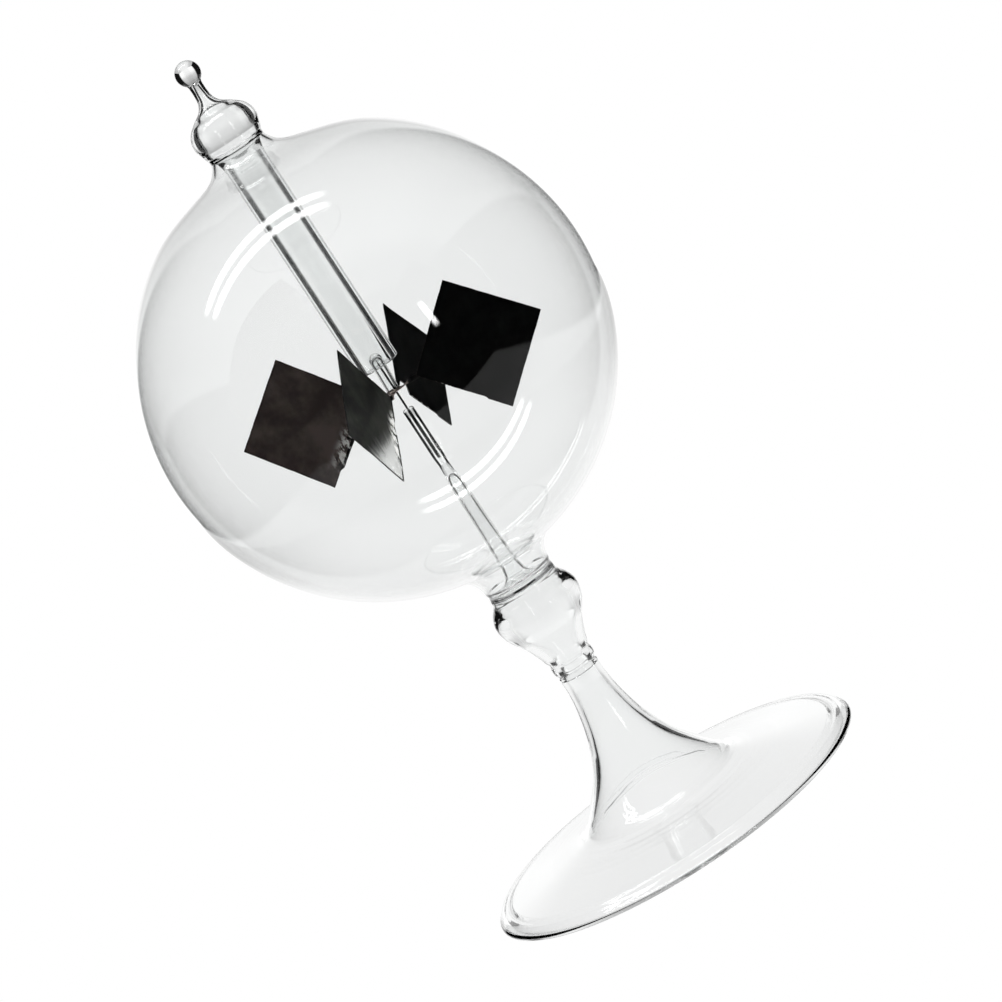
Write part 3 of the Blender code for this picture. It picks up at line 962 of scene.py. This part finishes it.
def make_star(look):
    """A sheet-metal star crimped round the cup. Each tab twists on edge and grips a vane's inner corner."""
    builder = bmesh.new()
    collar = [(1.46, 0.02), (1.5, -0.06), (1.62, -0.06), (1.75, 0.04), (2.2, 0.05), (2.33, 0.09)]
    collar += [(2.36, 0.16), (2.3, 0.24), (2.0, 0.27), (1.72, 0.3), (1.62, 0.46), (1.53, 0.5), (1.46, 0.42)]
    lathe(builder, collar, SIDES_SMALL, uneven=False, closed=True)
    to_star = star_matrix().inverted()
    for number in VANES:
        place, half = plate_frame(f"vane_{number}", f"blacking_{number}")
        place = to_star @ place
        corner = [place @ Vector((-half + reach * MM, 0.3 * MM, 0)) / MM for reach in TAB_REACHES]
        start = Vector((corner[1].x, corner[1].y, 0)).normalized()
        root = start * TAB_ROOT[0] + Vector((0, 0, TAB_ROOT[1]))
        middle = (root + corner[0]) / 2
        middle.z -= TAB_DROOP.get(number, 0.0)
        path = curve_through([root, middle, *corner], 8)
        sections = []
        for i in range(len(path)):
            share = min(max((i / (len(path) - 1) - 0.15) / 0.45, 0.0), 1.0)
            ease = share * share * (3 - 2 * share)
            sections.append((TAB_WIDTH - TAB_NARROWING * ease, TAB_THICKNESS, 90 * ease))
        strip(builder, path, sections)
    bmesh.ops.recalc_face_normals(builder, faces=builder.faces)
    made = piece_from("star_metal", builder, look, "rotor", ["spider"], star_matrix())
    made.data.set_sharp_from_angle(angle=math.radians(STAR_CREASE_DEG))


# --- studio and camera ---


def stage_mesh(name, builder, look):
    mesh = bpy.data.meshes.new(name)
    builder.to_mesh(mesh)
    builder.free()
    mesh.materials.append(look)
    made = bpy.data.objects.new(name, mesh)
    bpy.context.scene.collection.objects.link(made)
    return made


def emission_look(name, strength=None):
    """A glowing surface, of one strength or of one that is linked to the shader afterwards."""
    made = bpy.data.materials.new(name)
    made.use_nodes = True
    tree = made.node_tree
    tree.nodes.clear()
    shader = add(tree, "ShaderNodeEmission")
    out = add(tree, "ShaderNodeOutputMaterial")
    tree.links.new(shader.outputs["Emission"], out.inputs["Surface"])
    if strength is not None:
        shader.inputs["Strength"].default_value = strength
    made.cycles.emission_sampling = "NONE"
    return made, tree, shader


def table_look():
    """A lit white table, brightest behind the object, that fades out at its left and right edges."""
    made, tree, shader = emission_look("table_glow")
    _, x, y, _ = object_axes(tree)
    aside = math_node(tree, "ABSOLUTE", x)
    behind = times(tree, fade_out(tree, aside, 0.08, 0.18), smooth_step(tree, y, -0.17, -0.05))
    level = math_node(tree, "MULTIPLY_ADD", behind, TABLE_LEVEL - TABLE_SHADE, TABLE_SHADE)
    front = smooth_step(tree, y, -0.12, -0.04, FRONT_LEVEL / TABLE_SHADE, 1.0)
    edge = times(tree, fade_out(tree, aside, TABLE_HALF - 0.03, TABLE_HALF), front)
    tree.links.new(times(tree, level, edge), shader.inputs["Strength"])
    return made


def back_look():
    """The sheet behind the table, which darkens with height and fades out at its sides."""
    made, tree, shader = emission_look("back_glow")
    _, x, _, z = object_axes(tree)
    aside = math_node(tree, "ABSOLUTE", x)
    height = ramp(tree, z, BACK_LEVELS)
    sides = smooth_step(tree, aside, 0.06, 0.14, 1.0, BACK_SIDES)
    edge = times(tree, fade_out(tree, aside, BACK_HALF - 0.06, BACK_HALF), sides)
    tree.links.new(times(tree, height, edge), shader.inputs["Strength"])
    return made


def tube_look():
    """A tube light that is softer at its ends and edges. Its mesh is centred on its own origin."""
    made, tree, shader = emission_look("tube_light")
    _, x, y, _ = object_axes(tree)
    length = (TUBE_SPAN[1] - TUBE_SPAN[0]) / 2
    along = fade_out(tree, math_node(tree, "ABSOLUTE", x), length * 0.72, length)
    across = fade_out(tree, math_node(tree, "ABSOLUTE", y), TUBE_WIDTH * 0.25, TUBE_WIDTH * 0.5)
    level = times(tree, times(tree, along, across), TUBE_LEVEL)
    tree.links.new(level, shader.inputs["Strength"])
    return made


def window_look():
    """A small soft window, brightest in its middle. Its mesh is centred on its own origin."""
    made, tree, shader = emission_look("window")
    _, x, _, z = object_axes(tree)
    aside = math_node(tree, "ABSOLUTE", x)
    height = math_node(tree, "ABSOLUTE", z)
    across = fade_out(tree, aside, WINDOW_HALF_WIDTH * 0.2, WINDOW_HALF_WIDTH)
    along = fade_out(tree, height, WINDOW_HALF_HEIGHT * 0.5, WINDOW_HALF_HEIGHT)
    level = times(tree, times(tree, across, along), WINDOW_LEVEL)
    tree.links.new(level, shader.inputs["Strength"])
    return made


def plane_mesh(name, corners, look):
    builder = bmesh.new()
    builder.faces.new([builder.verts.new(corner) for corner in corners])
    return stage_mesh(name, builder, look)


def sphere_mesh(name, radius, look):
    builder = bmesh.new()
    bmesh.ops.create_uvsphere(builder, u_segments=64, v_segments=32, radius=radius)
    return stage_mesh(name, builder, look)


def oblong(half_width, low, high):
    """The corners of an oblong whose middle is at zero, as (aside, along)."""
    return [(-half_width, low), (half_width, low), (half_width, high), (-half_width, high)]


def make_studio(camera):
    """A product studio.

    The lit sheets hang on an empty that a constraint turns to face the camera, as if the object stood on a
    turntable in front of them. Only the object sees them. The camera sees the floor and the backdrop,
    which light nothing.
    """
    rig = bpy.data.objects.new("studio", None)
    bpy.context.scene.collection.objects.link(rig)
    follow = rig.constraints.new("LOCKED_TRACK")
    follow.target = camera
    follow.track_axis = "TRACK_NEGATIVE_Y"
    follow.lock_axis = "LOCK_Z"

    lit = [sphere_mesh("room", ROOM_RADIUS, emission_look("room", ROOM_LEVEL)[0])]
    drop = -2 * FLOOR_DROP
    table = [(x, y, drop) for x, y in oblong(TABLE_HALF, TABLE_FRONT, TABLE_BACK)]
    lit.append(plane_mesh("table_glow", table, table_look()))
    pane = [(x, 0, z) for x, z in oblong(WINDOW_HALF_WIDTH, -WINDOW_HALF_HEIGHT, WINDOW_HALF_HEIGHT)]
    window = plane_mesh("window", pane, window_look())
    window.location = WINDOW_PLACE
    window.rotation_euler.z = math.atan2(WINDOW_PLACE[0], -WINDOW_PLACE[1])
    lit.append(window)
    back = [(x, TABLE_BACK, z) for x, z in oblong(BACK_HALF, drop, BACK_HEIGHT)]
    lit.append(plane_mesh("back_glow", back, back_look()))
    glow = tube_look()
    reach = (TUBE_SPAN[1] - TUBE_SPAN[0]) / 2
    strip_light = [(x, y, 0) for x, y in oblong(reach, -TUBE_WIDTH / 2, TUBE_WIDTH / 2)]
    for number, (y, z) in enumerate(TUBE_LIGHTS, start=1):
        tube = plane_mesh(f"tube_light_{number}", strip_light, glow)
        tube.location = (sum(TUBE_SPAN) / 2, y, z)
        lit.append(tube)
    for made in lit:
        made.parent = rig
        made.visible_camera = False

    builder = bmesh.new()
    bmesh.ops.create_circle(builder, cap_ends=True, segments=96, radius=FLOOR_RADIUS)
    pale = emission_look("pale_floor", 1.0)[0]
    floor = stage_mesh("floor", builder, pale)
    floor.location.z = -FLOOR_DROP
    for made in (floor, sphere_mesh("backdrop", ROOM_RADIUS + 0.2, pale)):
        made.visible_transmission = False
        made.visible_glossy = False
        made.visible_diffuse = False


def make_camera():
    data = bpy.data.cameras.new("camera")
    data.sensor_width = 36.0
    data.lens = CAMERA_LENS
    data.clip_start = 0.01
    data.clip_end = 50.0
    camera = bpy.data.objects.new("camera", data)
    bpy.context.scene.collection.objects.link(camera)
    pitch = math.radians(CAMERA_PITCH_DEG)
    yaw = math.radians(CAMERA_YAW_DEG)
    roll = math.radians(CAMERA_ROLL_DEG)
    ahead = Vector((math.sin(yaw) * math.cos(pitch), math.cos(yaw) * math.cos(pitch), -math.sin(pitch)))
    level_right = ahead.cross(Vector((0, 0, 1))).normalized()
    level_up = level_right.cross(ahead)
    right = math.cos(roll) * level_right - math.sin(roll) * level_up
    up = math.sin(roll) * level_right + math.cos(roll) * level_up
    turn = Matrix((right, up, -ahead)).transposed().to_4x4()
    spot = Vector((0, -CAMERA_DISTANCE, globe_centre_z() + CAMERA_RISE)) * MM
    camera.matrix_world = Matrix.Translation(spot) @ turn
    bpy.context.scene.camera = camera
    return camera


def build():
    scene = bpy.context.scene
    scene.view_settings.view_transform = "Standard"
    scene.cycles.max_bounces = GLASS_BOUNCES
    scene.cycles.transmission_bounces = GLASS_BOUNCES
    scene.cycles.glossy_bounces = GLOSS_BOUNCES
    camera = make_camera()
    make_studio(camera)
    make_glass(glass_look("blown_glass"))
    make_needle(metal_look("needle_steel", NEEDLE_COLOUR, 0.35, 900))
    make_cup(glass_look("cup_glass"))
    make_star(star_look("star_metal"))
    smoky = mica_look("mica_smoky", *SMOKY_MICA)
    # vane 4's mica, whose silvery tip and glow are partly painted light from behind
    silver_and_backlight = mica_look("mica_backlit_silver", *BACKLIT_SILVER_MICA)
    make_vanes([smoky, smoky, smoky, silver_and_backlight], soot_look("lamp_black"))


build()
